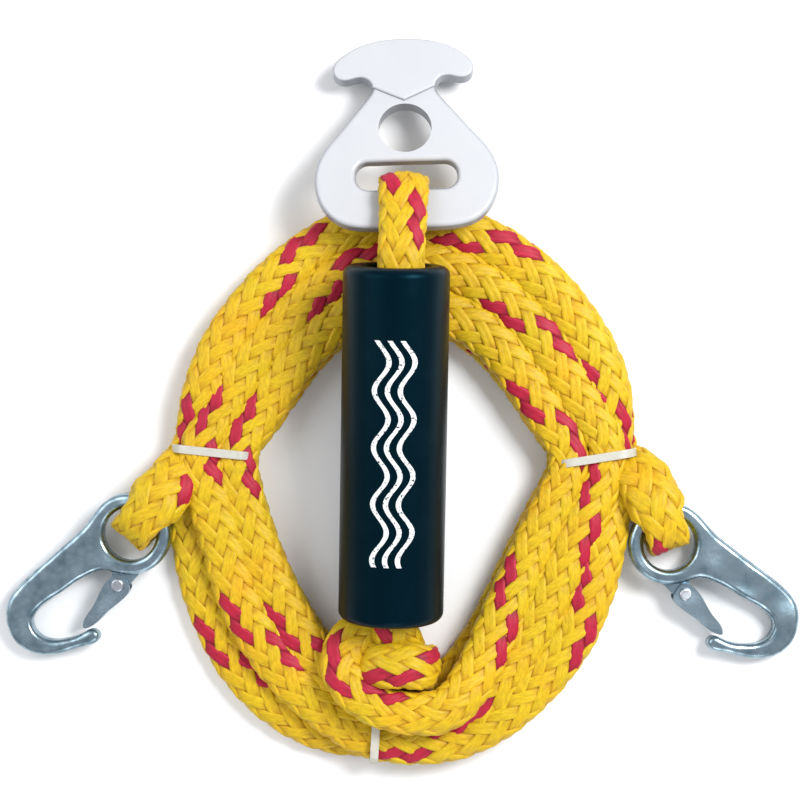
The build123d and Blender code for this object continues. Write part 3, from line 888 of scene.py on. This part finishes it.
def float_material(finish: FloatFinish) -> bpy.types.Material:
    """Near-black foam skin with fine pores, scuffs and a generic wave print on its top.

    Args:
        finish: Colours and the float's own frame.

    Returns:
        The material.
    """
    material = bpy.data.materials.new("float_foam")
    material.use_nodes = True
    tree = material.node_tree
    tree.nodes.clear()
    output = tree.nodes.new("ShaderNodeOutputMaterial")
    output.label = "Surface"
    output.location = (4 * LABEL_SPACING, 0)
    shader = tree.nodes.new("ShaderNodeBsdfPrincipled")
    shader.label = "Body of the material"
    shader.location = (3 * LABEL_SPACING, 0)

    place = tree.nodes.new("ShaderNodeTexCoord")
    place.label = "Place on the float"
    own_frame = tree.nodes.new("ShaderNodeMapping")
    own_frame.label = "The float's own frame"
    apart = tree.nodes.new("ShaderNodeSeparateXYZ")
    apart.label = "Across, along and up"
    wave = tree.nodes.new("ShaderNodeMath")
    wave.label = "Phase along the float"
    swing = tree.nodes.new("ShaderNodeMath")
    swing.label = "Swing of the wave"
    sway = tree.nodes.new("ShaderNodeMath")
    sway.label = "Wave height"
    shifted = tree.nodes.new("ShaderNodeMath")
    shifted.label = "Across, swayed"
    stripe = tree.nodes.new("ShaderNodeMath")
    stripe.label = "Stripes side by side"
    stripe_mask = tree.nodes.new("ShaderNodeMath")
    stripe_mask.label = "Width of a stripe"
    across_size = tree.nodes.new("ShaderNodeMath")
    across_size.label = "Distance from the middle line"
    across_mask = tree.nodes.new("ShaderNodeMath")
    across_mask.label = "Side limits of the print"
    along_offset = tree.nodes.new("ShaderNodeMath")
    along_offset.label = "Distance from the print's middle"
    along_size = tree.nodes.new("ShaderNodeMath")
    along_size.label = "Either way from the middle"
    along_mask = tree.nodes.new("ShaderNodeMath")
    along_mask.label = "End limits of the print"
    top_mask = tree.nodes.new("ShaderNodeMath")
    top_mask.label = "Only on the upper side"
    both = tree.nodes.new("ShaderNodeMath")
    both.label = "Stripes within the sides"
    all_three = tree.nodes.new("ShaderNodeMath")
    all_three.label = "And within the ends"
    print_mask = tree.nodes.new("ShaderNodeMath")
    print_mask.label = "And on top"
    worn = tree.nodes.new("ShaderNodeTexNoise")
    worn.label = "Worn ink"
    worn_range = tree.nodes.new("ShaderNodeMapRange")
    worn_range.label = "How worn"
    inked = tree.nodes.new("ShaderNodeMath")
    inked.label = "Ink that is left"

    scuffs = tree.nodes.new("ShaderNodeTexNoise")
    scuffs.label = "Scuffs and handling"
    scuff_range = tree.nodes.new("ShaderNodeMapRange")
    scuff_range.label = "Where it is scuffed"
    skin_mix = tree.nodes.new("ShaderNodeMix")
    skin_mix.label = "Skin to scuff"
    ink_mix = tree.nodes.new("ShaderNodeMix")
    ink_mix.label = "Ink over the skin"
    gloss = tree.nodes.new("ShaderNodeMapRange")
    gloss.label = "Gloss of the skin"
    pores = tree.nodes.new("ShaderNodeTexVoronoi")
    pores.label = "Foam cells"
    pore_bump = tree.nodes.new("ShaderNodeBump")
    pore_bump.label = "Cell relief"

    frame_box = tree.nodes.new("NodeFrame")
    frame_box.label = "The float's own frame"
    wave_box = tree.nodes.new("NodeFrame")
    wave_box.label = "Wave print"
    ink_box = tree.nodes.new("NodeFrame")
    ink_box.label = "Worn ink"
    skin_box = tree.nodes.new("NodeFrame")
    skin_box.label = "Foam skin"
    lay_out([
        (frame_box, [place, own_frame, apart]),
        (wave_box, [
            wave, swing, sway, shifted, stripe, stripe_mask, across_size, across_mask,
            along_offset, along_size, along_mask, top_mask, both, all_three, print_mask,
        ]),
        (ink_box, [worn, worn_range, inked]),
        (skin_box, [scuffs, scuff_range, skin_mix, ink_mix, gloss, pores, pore_bump]),
    ])

    own_frame.vector_type = "TEXTURE"
    own_frame.inputs["Location"].default_value = finish.foot
    turn = Euler((math.radians(finish.tilt), 0.0, math.radians(-finish.lean)), "XYZ")
    own_frame.inputs["Rotation"].default_value = turn
    wave.operation = "MULTIPLY"
    wave.inputs[1].default_value = 2 * math.pi / finish.wave_length
    swing.operation = "SINE"
    sway.operation = "MULTIPLY"
    sway.inputs[1].default_value = finish.wave_height
    shifted.operation = "ADD"
    stripe.operation = "PINGPONG"
    stripe.inputs[1].default_value = finish.stripe_apart
    stripe_mask.operation = "LESS_THAN"
    stripe_mask.inputs[1].default_value = finish.stripe_width
    across_size.operation = "ABSOLUTE"
    across_mask.operation = "LESS_THAN"
    across_mask.inputs[1].default_value = finish.print_side
    along_offset.operation = "SUBTRACT"
    along_offset.inputs[1].default_value = finish.print_middle
    along_size.operation = "ABSOLUTE"
    along_mask.operation = "LESS_THAN"
    along_mask.inputs[1].default_value = finish.print_reach
    top_mask.operation = "GREATER_THAN"
    top_mask.inputs[1].default_value = 0.0
    for gate in (both, all_three, print_mask, inked):
        gate.operation = "MULTIPLY"
    worn.inputs["Scale"].default_value = 900.0
    worn.inputs["Detail"].default_value = 3.0
    worn_range.inputs["From Min"].default_value = 0.34
    worn_range.inputs["From Max"].default_value = 0.42
    scuffs.inputs["Scale"].default_value = 55.0
    scuffs.inputs["Detail"].default_value = 6.0
    scuffs.inputs["Roughness"].default_value = 0.66
    scuff_range.inputs["From Min"].default_value = 0.52
    scuff_range.inputs["From Max"].default_value = 0.80
    skin_mix.data_type = "RGBA"
    skin_mix.inputs["A"].default_value = (*finish.skin, 1.0)
    skin_mix.inputs["B"].default_value = (*finish.scuff, 1.0)
    ink_mix.data_type = "RGBA"
    ink_mix.inputs["B"].default_value = (*finish.ink, 1.0)
    gloss.inputs["To Min"].default_value = 0.26
    gloss.inputs["To Max"].default_value = 0.38
    pores.inputs["Scale"].default_value = 1500.0
    pore_bump.inputs["Strength"].default_value = 0.28
    pore_bump.inputs["Distance"].default_value = 0.00012
    shader.inputs["Specular IOR Level"].default_value = 0.15
    shader.inputs["Specular Tint"].default_value = (0.10, 0.50, 0.72, 1.0)

    tree.links.new(place.outputs["Object"], own_frame.inputs["Vector"])
    tree.links.new(own_frame.outputs["Vector"], apart.inputs["Vector"])
    tree.links.new(apart.outputs["Y"], wave.inputs[0])
    tree.links.new(wave.outputs["Value"], swing.inputs[0])
    tree.links.new(swing.outputs["Value"], sway.inputs[0])
    tree.links.new(apart.outputs["X"], shifted.inputs[0])
    tree.links.new(sway.outputs["Value"], shifted.inputs[1])
    tree.links.new(shifted.outputs["Value"], stripe.inputs[0])
    tree.links.new(stripe.outputs["Value"], stripe_mask.inputs[0])
    tree.links.new(shifted.outputs["Value"], across_size.inputs[0])
    tree.links.new(across_size.outputs["Value"], across_mask.inputs[0])
    tree.links.new(apart.outputs["Y"], along_offset.inputs[0])
    tree.links.new(along_offset.outputs["Value"], along_size.inputs[0])
    tree.links.new(along_size.outputs["Value"], along_mask.inputs[0])
    tree.links.new(apart.outputs["Z"], top_mask.inputs[0])
    tree.links.new(stripe_mask.outputs["Value"], both.inputs[0])
    tree.links.new(across_mask.outputs["Value"], both.inputs[1])
    tree.links.new(both.outputs["Value"], all_three.inputs[0])
    tree.links.new(along_mask.outputs["Value"], all_three.inputs[1])
    tree.links.new(all_three.outputs["Value"], print_mask.inputs[0])
    tree.links.new(top_mask.outputs["Value"], print_mask.inputs[1])
    tree.links.new(place.outputs["Object"], worn.inputs["Vector"])
    tree.links.new(worn.outputs["Fac"], worn_range.inputs["Value"])
    tree.links.new(print_mask.outputs["Value"], inked.inputs[0])
    tree.links.new(worn_range.outputs["Result"], inked.inputs[1])
    tree.links.new(place.outputs["Object"], scuffs.inputs["Vector"])
    tree.links.new(scuffs.outputs["Fac"], scuff_range.inputs["Value"])
    tree.links.new(scuff_range.outputs["Result"], skin_mix.inputs["Factor"])
    tree.links.new(inked.outputs["Value"], ink_mix.inputs["Factor"])
    tree.links.new(skin_mix.outputs["Result"], ink_mix.inputs["A"])
    tree.links.new(ink_mix.outputs["Result"], shader.inputs["Base Color"])
    tree.links.new(shader.outputs["BSDF"], output.inputs["Surface"])
    tree.links.new(scuffs.outputs["Fac"], gloss.inputs["Value"])
    tree.links.new(gloss.outputs["Result"], shader.inputs["Roughness"])
    tree.links.new(place.outputs["Object"], pores.inputs["Vector"])
    tree.links.new(pores.outputs["Distance"], pore_bump.inputs["Height"])
    tree.links.new(pore_bump.outputs["Normal"], shader.inputs["Normal"])
    return material


# ---------------------------------------------------------------------------- moulded plastic


@dataclass(frozen=True)
class MouldedFinish:
    """Translucent moulded plastic, with flow marks, fine scratches and painted shade on its side walls.
    """

    name: str
    colour: tuple[float, float, float]
    cloud: tuple[float, float, float]
    # Painted shade: the colour of the side walls, which face away from the light above.
    edge: tuple[float, float, float]
    clear: float
    roughness: float
    flow_scale: float
    scratch_depth: float = 0.00006


# The third colour of each is the painted shade of its side walls.
HITCH_PLASTIC = MouldedFinish(
    "hitch_plastic", (0.62, 0.63, 0.65), (0.57, 0.58, 0.605), (0.30, 0.32, 0.35), 0.12, 0.17, 24.0
)
TIE_NYLON = MouldedFinish(
    "tie_nylon", (0.80, 0.80, 0.74), (0.66, 0.65, 0.56), (0.60, 0.58, 0.46), 0.35, 0.28, 160.0
)


def moulded_material(finish: MouldedFinish) -> bpy.types.Material:
    """Milky moulded plastic that lets some light through, with painted shade where its walls turn down.

    Args:
        finish: Its colours, clearness and marks.

    Returns:
        The material.
    """
    material = bpy.data.materials.new(finish.name)
    material.use_nodes = True
    tree = material.node_tree
    tree.nodes.clear()
    output = tree.nodes.new("ShaderNodeOutputMaterial")
    output.label = "Surface"
    output.location = (4 * LABEL_SPACING, 0)
    shader = tree.nodes.new("ShaderNodeBsdfPrincipled")
    shader.label = "Body of the material"
    shader.location = (3 * LABEL_SPACING, 0)

    place = tree.nodes.new("ShaderNodeTexCoord")
    place.label = "Place on the moulding"
    flow = tree.nodes.new("ShaderNodeTexNoise")
    flow.label = "Flow of the melt"
    flow_mix = tree.nodes.new("ShaderNodeMix")
    flow_mix.label = "Clearer and milkier"
    drawn = tree.nodes.new("ShaderNodeMapping")
    drawn.label = "Scratches drawn one way"
    scratch = tree.nodes.new("ShaderNodeTexNoise")
    scratch.label = "Fine scratches"
    scratch_rough = tree.nodes.new("ShaderNodeMapRange")
    scratch_rough.label = "Gloss between scratches"
    scratch_bump = tree.nodes.new("ShaderNodeBump")
    scratch_bump.label = "Scratch relief"

    # Painted shade: faces that turn from up to sideways take the darker edge colour.
    facing = tree.nodes.new("ShaderNodeSeparateXYZ")
    facing.label = "Flat faces and sides apart"
    side_shade_share = tree.nodes.new("ShaderNodeMapRange")
    side_shade_share.label = "Where the wall turns down"
    side_shade_mix = tree.nodes.new("ShaderNodeMix")
    side_shade_mix.label = "Greyer through the edge"

    flow_box = tree.nodes.new("NodeFrame")
    flow_box.label = "Flow marks"
    side_shade_box = tree.nodes.new("NodeFrame")
    side_shade_box.label = "Edges"
    scratch_box = tree.nodes.new("NodeFrame")
    scratch_box.label = "Scratches"
    lay_out([
        (flow_box, [place, flow, flow_mix]),
        (side_shade_box, [facing, side_shade_share, side_shade_mix]),
        (scratch_box, [drawn, scratch, scratch_rough, scratch_bump]),
    ])

    flow.inputs["Scale"].default_value = finish.flow_scale
    flow.inputs["Detail"].default_value = 3.0
    flow.inputs["Distortion"].default_value = 1.4
    flow_mix.data_type = "RGBA"
    flow_mix.inputs["A"].default_value = (*finish.colour, 1.0)
    flow_mix.inputs["B"].default_value = (*finish.cloud, 1.0)
    side_shade_share.inputs["From Min"].default_value = 0.45
    side_shade_share.inputs["From Max"].default_value = 0.97
    side_shade_mix.data_type = "RGBA"
    side_shade_mix.inputs["A"].default_value = (*finish.edge, 1.0)
    drawn.inputs["Rotation"].default_value = (0.0, 0.0, 0.5)
    drawn.inputs["Scale"].default_value = (1.0, 1.8, 1.2)
    scratch.inputs["Scale"].default_value = 130.0
    scratch.inputs["Detail"].default_value = 5.0
    scratch_rough.inputs["From Min"].default_value = 0.35
    scratch_rough.inputs["From Max"].default_value = 0.75
    scratch_rough.inputs["To Min"].default_value = finish.roughness
    scratch_rough.inputs["To Max"].default_value = finish.roughness + 0.08
    scratch_bump.inputs["Strength"].default_value = 0.07
    scratch_bump.inputs["Distance"].default_value = finish.scratch_depth
    shader.inputs["Transmission Weight"].default_value = finish.clear
    shader.inputs["IOR"].default_value = 1.49
    shader.inputs["Subsurface Weight"].default_value = 0.25
    shader.inputs["Subsurface Radius"].default_value = (0.006, 0.006, 0.006)
    shader.inputs["Subsurface Scale"].default_value = 0.5

    tree.links.new(place.outputs["Object"], flow.inputs["Vector"])
    tree.links.new(flow.outputs["Fac"], flow_mix.inputs["Factor"])
    tree.links.new(flow_mix.outputs["Result"], side_shade_mix.inputs["B"])
    tree.links.new(place.outputs["Normal"], facing.inputs["Vector"])
    tree.links.new(facing.outputs["Z"], side_shade_share.inputs["Value"])
    tree.links.new(side_shade_share.outputs["Result"], side_shade_mix.inputs["Factor"])
    tree.links.new(side_shade_mix.outputs["Result"], shader.inputs["Base Color"])
    tree.links.new(shader.outputs["BSDF"], output.inputs["Surface"])
    tree.links.new(place.outputs["Object"], drawn.inputs["Vector"])
    tree.links.new(drawn.outputs["Vector"], scratch.inputs["Vector"])
    tree.links.new(scratch.outputs["Fac"], scratch_rough.inputs["Value"])
    tree.links.new(scratch_rough.outputs["Result"], shader.inputs["Roughness"])
    tree.links.new(scratch.outputs["Fac"], scratch_bump.inputs["Height"])
    tree.links.new(scratch_bump.outputs["Normal"], shader.inputs["Normal"])
    return material


# ---------------------------------------------------------------------------- steel


@dataclass(frozen=True)
class SteelFinish:
    """Zinc-plated or plain steel, with plating mottle and rub marks."""

    name: str
    bright: tuple[float, float, float]
    dull: tuple[float, float, float]
    smooth: float
    rough: float
    mottle: float
    dent_depth: float
    sweep_scale: float = 34.0
    sweep_depth: float = 0.0055


HOOK_STEEL = SteelFinish(
    "hook_zinc", (0.40, 0.52, 0.59), (0.15, 0.225, 0.27), 0.20, 0.38, 120.0, 0.00026
)
GATE_STEEL = SteelFinish(
    "gate_zinc", (0.40, 0.51, 0.58), (0.18, 0.25, 0.30), 0.20, 0.40, 320.0, 0.00010
)
RIVET_STEEL = SteelFinish(
    "rivet_zinc", (0.70, 0.73, 0.78), (0.40, 0.43, 0.48), 0.25, 0.42, 420.0, 0.00008
)
SPRING_STEEL = SteelFinish(
    "spring_steel", (0.46, 0.46, 0.47), (0.26, 0.25, 0.25), 0.22, 0.40, 500.0, 0.00003
)


def steel_material(finish: SteelFinish) -> bpy.types.Material:
    """Plated steel: crystal mottle, a few rub marks, and uneven gloss.

    Args:
        finish: Its colours, gloss and marks.

    Returns:
        The material.
    """
    material = bpy.data.materials.new(finish.name)
    material.use_nodes = True
    tree = material.node_tree
    tree.nodes.clear()
    output = tree.nodes.new("ShaderNodeOutputMaterial")
    output.label = "Surface"
    output.location = (4 * LABEL_SPACING, 0)
    shader = tree.nodes.new("ShaderNodeBsdfPrincipled")
    shader.label = "Body of the material"
    shader.location = (3 * LABEL_SPACING, 0)

    place = tree.nodes.new("ShaderNodeTexCoord")
    place.label = "Place on the steel"
    spangle = tree.nodes.new("ShaderNodeTexVoronoi")
    spangle.label = "Zinc crystals"
    cloud = tree.nodes.new("ShaderNodeTexNoise")
    cloud.label = "Uneven plating"
    plating = tree.nodes.new("ShaderNodeMath")
    plating.label = "Crystals in the plating"
    plating_range = tree.nodes.new("ShaderNodeMapRange")
    plating_range.label = "Contrast of the plating"
    colour = tree.nodes.new("ShaderNodeMix")
    colour.label = "Dull to bright zinc"
    gloss = tree.nodes.new("ShaderNodeMapRange")
    gloss.label = "Dull zinc is rougher"
    dents = tree.nodes.new("ShaderNodeTexNoise")
    dents.label = "Forging and tumbling dents"
    sweep = tree.nodes.new("ShaderNodeTexNoise")
    sweep.label = "Broad hollows from the forge"
    sweep_bump = tree.nodes.new("ShaderNodeBump")
    sweep_bump.label = "Hollow relief"
    dent_bump = tree.nodes.new("ShaderNodeBump")
    dent_bump.label = "Dent relief"

    plating_box = tree.nodes.new("NodeFrame")
    plating_box.label = "Plating"
    dent_box = tree.nodes.new("NodeFrame")
    dent_box.label = "Dents"
    lay_out([
        (plating_box, [place, spangle, cloud, plating, plating_range, colour, gloss]),
        (dent_box, [sweep, sweep_bump, dents, dent_bump]),
    ])

    spangle.inputs["Scale"].default_value = finish.mottle * 2.2
    cloud.inputs["Scale"].default_value = finish.mottle
    cloud.inputs["Detail"].default_value = 5.0
    plating.operation = "MULTIPLY_ADD"
    plating.inputs[1].default_value = 0.35
    plating_range.inputs["From Min"].default_value = 0.42
    plating_range.inputs["From Max"].default_value = 0.92
    colour.data_type = "RGBA"
    colour.inputs["A"].default_value = (*finish.bright, 1.0)
    colour.inputs["B"].default_value = (*finish.dull, 1.0)
    gloss.inputs["To Min"].default_value = finish.smooth
    gloss.inputs["To Max"].default_value = finish.rough
    dents.inputs["Scale"].default_value = finish.mottle * 1.4
    dents.inputs["Detail"].default_value = 4.0
    sweep.inputs["Scale"].default_value = finish.sweep_scale
    sweep.inputs["Detail"].default_value = 1.0
    sweep_bump.inputs["Strength"].default_value = 1.0
    sweep_bump.inputs["Distance"].default_value = finish.sweep_depth
    dent_bump.inputs["Strength"].default_value = 0.5
    dent_bump.inputs["Distance"].default_value = finish.dent_depth
    shader.inputs["Metallic"].default_value = 1.0

    tree.links.new(place.outputs["Object"], spangle.inputs["Vector"])
    tree.links.new(place.outputs["Object"], cloud.inputs["Vector"])
    tree.links.new(spangle.outputs["Distance"], plating.inputs[0])
    tree.links.new(cloud.outputs["Fac"], plating.inputs[2])
    tree.links.new(plating.outputs["Value"], plating_range.inputs["Value"])
    tree.links.new(plating_range.outputs["Result"], colour.inputs["Factor"])
    tree.links.new(colour.outputs["Result"], shader.inputs["Base Color"])
    tree.links.new(shader.outputs["BSDF"], output.inputs["Surface"])
    tree.links.new(plating_range.outputs["Result"], gloss.inputs["Value"])
    tree.links.new(gloss.outputs["Result"], shader.inputs["Roughness"])
    tree.links.new(place.outputs["Object"], sweep.inputs["Vector"])
    tree.links.new(sweep.outputs["Fac"], sweep_bump.inputs["Height"])
    tree.links.new(sweep_bump.outputs["Normal"], dent_bump.inputs["Normal"])
    tree.links.new(place.outputs["Object"], dents.inputs["Vector"])
    tree.links.new(dents.outputs["Fac"], dent_bump.inputs["Height"])
    tree.links.new(dent_bump.outputs["Normal"], shader.inputs["Normal"])
    return material


@dataclass
class LeafSpring:
    """The bent leaf behind a gate."""

    hook: HookPlace
    face: int
    finish: bpy.types.Material
    pivot: tuple[float, float] = (21.6, 15.2)
    bends: tuple[tuple[float, float], ...] = ((-2.5, 4.95), (3.2, 4.7), (8.0, 3.9), (14.5, 2.4))
    thickness: float = 0.0005
    width: float = 0.0032

    @property
    def toward_gate(self) -> Vector:
        """In the hook's flat, square to the way it points, on the gate's side."""
        return (self.hook.above * self.face).cross(self.hook.ahead)

    def at(self, along: float, aside: float) -> Vector:
        """A point in the hook's flat, in millimetres from the gate's rivet."""
        forward = self.hook.ahead * ((self.pivot[0] + along) * MM)
        return self.hook.ring + forward + self.toward_gate * ((self.pivot[1] + aside) * MM)

    def line(self) -> list[Vector]:
        """The leaf's bent middle line, from its fixed end to its free end."""
        curve = bpy.data.curves.new("leaf_route", "CURVE")
        curve.dimensions = "3D"
        curve.resolution_u = 8
        spline = curve.splines.new("BEZIER")
        spline.bezier_points.add(len(self.bends) - 1)
        for control, bend in zip(spline.bezier_points, self.bends):
            control.co = self.at(*bend)
            control.handle_left_type = "AUTO"
            control.handle_right_type = "AUTO"
        return [Vector(point) for point in read_line(curve)]

    def build(self) -> None:
        """Makes the leaf along its bent line, between the hook and the gate."""
        points = self.line()
        half_width = self.hook.above * (self.width / 2)
        corners = []
        for index, point in enumerate(points):
            ahead = points[min(index + 1, len(points) - 1)] - points[max(index - 1, 0)]
            half_thick = ahead.normalized().cross(self.hook.above) * (self.thickness / 2)
            corners += [
                point + half_width + half_thick, point + half_width - half_thick,
                point - half_width - half_thick, point - half_width + half_thick,
            ]
        faces = [(3, 2, 1, 0), tuple(len(corners) - 4 + side for side in range(4))]
        for start in range(0, len(corners) - 4, 4):
            for side in range(4):
                beside = (side + 1) % 4
                faces.append((start + side, start + beside, start + beside + 4, start + side + 4))
        node = f"{self.hook.side}_gate_spring"
        mesh = bpy.data.meshes.new(f"{node}_leaf")
        mesh.from_pydata(corners, [], faces)
        mesh.materials.append(self.finish)
        piece = bpy.data.objects.new(f"{self.hook.side}_leaf", mesh)
        bpy.context.scene.collection.objects.link(piece)
        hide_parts(node)
        start, _, _, end = (self.at(*bend) for bend in self.bends)
        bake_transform(piece)
        log.info("%s stands for %s", piece.name, node)


@dataclass
class Hardware:
    """The pieces that keep their designed shape and only get their finish."""

    def dress(self) -> None:
        """Gives the float, the hitch, both snap hooks and the ties their materials."""
        finishes = {
            "float": float_material(FloatFinish()),
            "tow_hitch": moulded_material(HITCH_PLASTIC),
        }
        nylon = moulded_material(TIE_NYLON)
        for tie in ("left_cable_tie", "right_cable_tie", "bottom_cable_tie"):
            finishes[tie] = nylon
        zinc = {
            "hook": steel_material(HOOK_STEEL),
            "gate": steel_material(GATE_STEEL),
            "gate_rivet": steel_material(RIVET_STEEL),
        }
        for side in ("left", "right"):
            for part, finish in zinc.items():
                finishes[f"{side}_{part}"] = finish
        for node, finish in finishes.items():
            piece = bpy.data.objects[node]
            for slot in piece.material_slots:
                slot.material = finish
            log.info("%s dressed in %s", node, finish.name)
        leaf_finish = steel_material(SPRING_STEEL)
        LeafSpring(LEFT_HOOK, 1, leaf_finish).build()
        LeafSpring(RIGHT_HOOK, -1, leaf_finish).build()


# ---------------------------------------------------------------------------- the studio


@dataclass
class Studio:
    """A plain pale floor, soft light and a camera straight above."""

    floor_size: float = 6.0
    floor_colour: tuple[float, float, float] = (0.88, 0.885, 0.89)
    middle: Vector = Vector((-0.0013, 0.0015, 0.0))
    lens: float = 100.0
    sensor: float = 36.0
    view_width: float = 0.400
    focus_height: float = 0.014
    clip_start: float = 0.05
    floor_drop: float = 0.0004

    def camera(self) -> None:
        """Places the camera straight above, so that the harness fills the frame."""
        data = bpy.data.cameras.new("camera")
        data.lens = self.lens
        data.sensor_width = self.sensor
        data.clip_start = self.clip_start
        eye = bpy.data.objects.new("camera", data)
        height = self.view_width * self.lens / self.sensor + self.focus_height
        eye.location = self.middle + Vector((0.0, 0.0, height))
        bpy.context.scene.collection.objects.link(eye)
        bpy.context.scene.camera = eye

    def floor(self) -> None:
        """Lays the floor."""
        half = self.floor_size / 2
        mesh = bpy.data.meshes.new("floor")
        corners = [(-half, -half, 0.0), (half, -half, 0.0), (half, half, 0.0), (-half, half, 0.0)]
        mesh.from_pydata(corners, [], [(0, 1, 2, 3)])
        floor = bpy.data.objects.new("floor", mesh)
        bpy.context.scene.collection.objects.link(floor)
        material = bpy.data.materials.new("pale_floor")
        material.use_nodes = True
        tree = material.node_tree
        tree.nodes.clear()
        output = tree.nodes.new("ShaderNodeOutputMaterial")
        output.label = "Surface"
        output.location = (4 * LABEL_SPACING, 0)
        shader = tree.nodes.new("ShaderNodeBsdfPrincipled")
        shader.label = "Body of the material"
        shader.location = (3 * LABEL_SPACING, 0)
        shader.inputs["Base Color"].default_value = (*self.floor_colour, 1.0)
        shader.inputs["Roughness"].default_value = 0.85
        shader.inputs["Specular IOR Level"].default_value = 0.2
        tree.links.new(shader.outputs["BSDF"], output.inputs["Surface"])
        mesh.materials.append(material)
        floor.location.z = -self.floor_drop

    def light(self, name: str, place: Vector, size: float, power: float) -> None:
        """Hangs a soft square light that faces the harness.

        Args:
            name: The light's name.
            place: Where it hangs.
            size: Its side.
            power: Its power in watts.
        """
        data = bpy.data.lights.new(name, "AREA")
        data.shape = "SQUARE"
        data.size = size
        data.energy = power
        lamp = bpy.data.objects.new(name, data)
        lamp.location = place
        aim = (self.middle - place).to_track_quat("-Z", "Y")
        lamp.rotation_euler = aim.to_euler()
        bpy.context.scene.collection.objects.link(lamp)

    def build(self) -> None:
        """Builds the whole studio."""
        self.floor()
        self.light("key", Vector((0.75, 0.45, 1.05)), 0.55, 21.0)
        self.light("fill", Vector((-1.05, 0.35, 0.95)), 1.1, 9.0)
        self.light("rim", Vector((0.15, -1.3, 0.75)), 0.8, 5.0)
        bpy.context.scene.view_settings.view_transform = "Standard"
        world = bpy.data.worlds.new("studio")
        world.use_nodes = True
        background = world.node_tree.nodes["Background"]
        background.inputs["Color"].default_value = (0.93, 0.95, 1.0, 1.0)
        background.inputs["Strength"].default_value = 0.52
        bpy.context.scene.world = world


def main() -> None:
    """Builds the studio, the cords and the hardware, and logs each piece."""
    Studio().camera()
    for finish in (YELLOW_YARN, CRIMSON_YARN, PAINTED_SHADOW_TUBE):
        MATERIALS[finish.name] = braid_material(finish)
    Hank().build()
    Bight().build()
    Hardware().dress()
    Studio().build()


if __name__ == "__main__":
    main()
